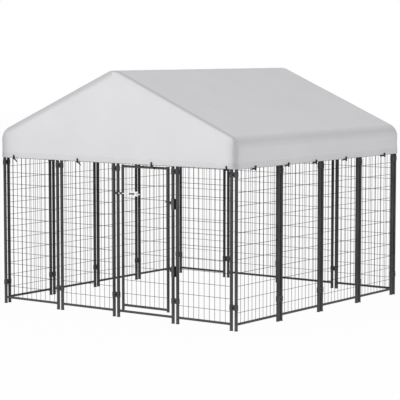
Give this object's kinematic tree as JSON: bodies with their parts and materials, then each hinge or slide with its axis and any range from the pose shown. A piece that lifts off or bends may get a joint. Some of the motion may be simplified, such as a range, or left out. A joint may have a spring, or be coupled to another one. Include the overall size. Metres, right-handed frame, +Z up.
{
  "type": "outdoor dog kennel run",
  "caption": "Square walk-in dog run of dark wire mesh panels clamped post to post, with a hinged door, slide bolt and a pale gabled cloth cover on a tube roof frame.",
  "frame": {"origin": "middle of the square footprint, on the ground under the foot caps", "axes": "+X to the right seen from the door, +Y from the door to the back, along the ridge, +Z up"},
  "size_m": [2.4886, 2.4943, 2.0149],
  "materials": {
    "painted_tube": "charcoal hammered powder coat",
    "painted_wire": "charcoal powder coat on welded wire",
    "black_plastic": "matt black moulded plastic",
    "zinc_steel": "bright zinc plate",
    "black_steel": "black oxide on steel fasteners",
    "cover_cloth": "pale grey coated polyester",
    "tie_cord": "black elastic cord with black toggles"
  },
  "bodies": {
    "run": {"front_frame_1": "painted_tube", "front_frame_2": "painted_tube", "front_frame_3": "painted_tube", "front_frame_4": "painted_tube", "right_frame_1": "painted_tube", "right_frame_2": "painted_tube", "right_frame_3": "painted_tube", "right_frame_4": "painted_tube", "back_frame_1": "painted_tube", "back_frame_2": "painted_tube", "back_frame_3": "painted_tube", "back_frame_4": "painted_tube", "left_frame_1": "painted_tube", "left_frame_2": "painted_tube", "left_frame_3": "painted_tube", "left_frame_4": "painted_tube", "front_mesh_1": "painted_wire", "front_mesh_2": "painted_wire", "front_mesh_4": "painted_wire", "right_mesh_1": "painted_wire", "right_mesh_2": "painted_wire", "right_mesh_3": "painted_wire", "right_mesh_4": "painted_wire", "back_mesh_1": "painted_wire", "back_mesh_2": "painted_wire", "back_mesh_3": "painted_wire", "back_mesh_4": "painted_wire", "left_mesh_1": "painted_wire", "left_mesh_2": "painted_wire", "left_mesh_3": "painted_wire", "left_mesh_4": "painted_wire", "foot_caps": "black_plastic", "top_caps": "black_plastic", "clamp_outer_halves": "painted_tube", "clamp_inner_halves": "painted_tube", "clamp_bolts": "black_steel", "clamp_nuts": "black_steel", "hinge_bands": "painted_tube", "hinge_band_bolts": "black_steel", "hinge_band_nuts": "black_steel", "latch_keeper": "painted_tube", "eave_elbows": "painted_tube", "rafters": "painted_tube", "ridge_bends": "painted_tube", "ridge_tubes": "painted_tube", "eave_tubes": "painted_tube", "cover_roof": "cover_cloth", "cover_front_gable": "cover_cloth", "cover_back_gable": "cover_cloth", "cover_ties": "tie_cord"},
    "door": {"door_frame": "painted_tube", "door_mesh": "painted_wire", "door_caps": "black_plastic", "hinge_eyes": "painted_tube", "hinge_eye_nuts": "black_steel", "latch_guides": "zinc_steel", "latch_back_plate": "zinc_steel", "latch_screws": "zinc_steel"},
    "latch": {"latch_bolt": "zinc_steel", "latch_grip": "black_plastic"}
  },
  "joints": [
    {"name": "door_hinge", "type": "hinge", "parent": "run", "child": "door", "pos_m": [0.5785, -1.22, 0.7], "axis": [0, 0, 1], "range_deg": [0, 110]},
    {"name": "latch_slide", "type": "slide", "parent": "door", "child": "latch", "axis": [-1, 0, 0], "range_m": [0, 0.036]}
  ]
}
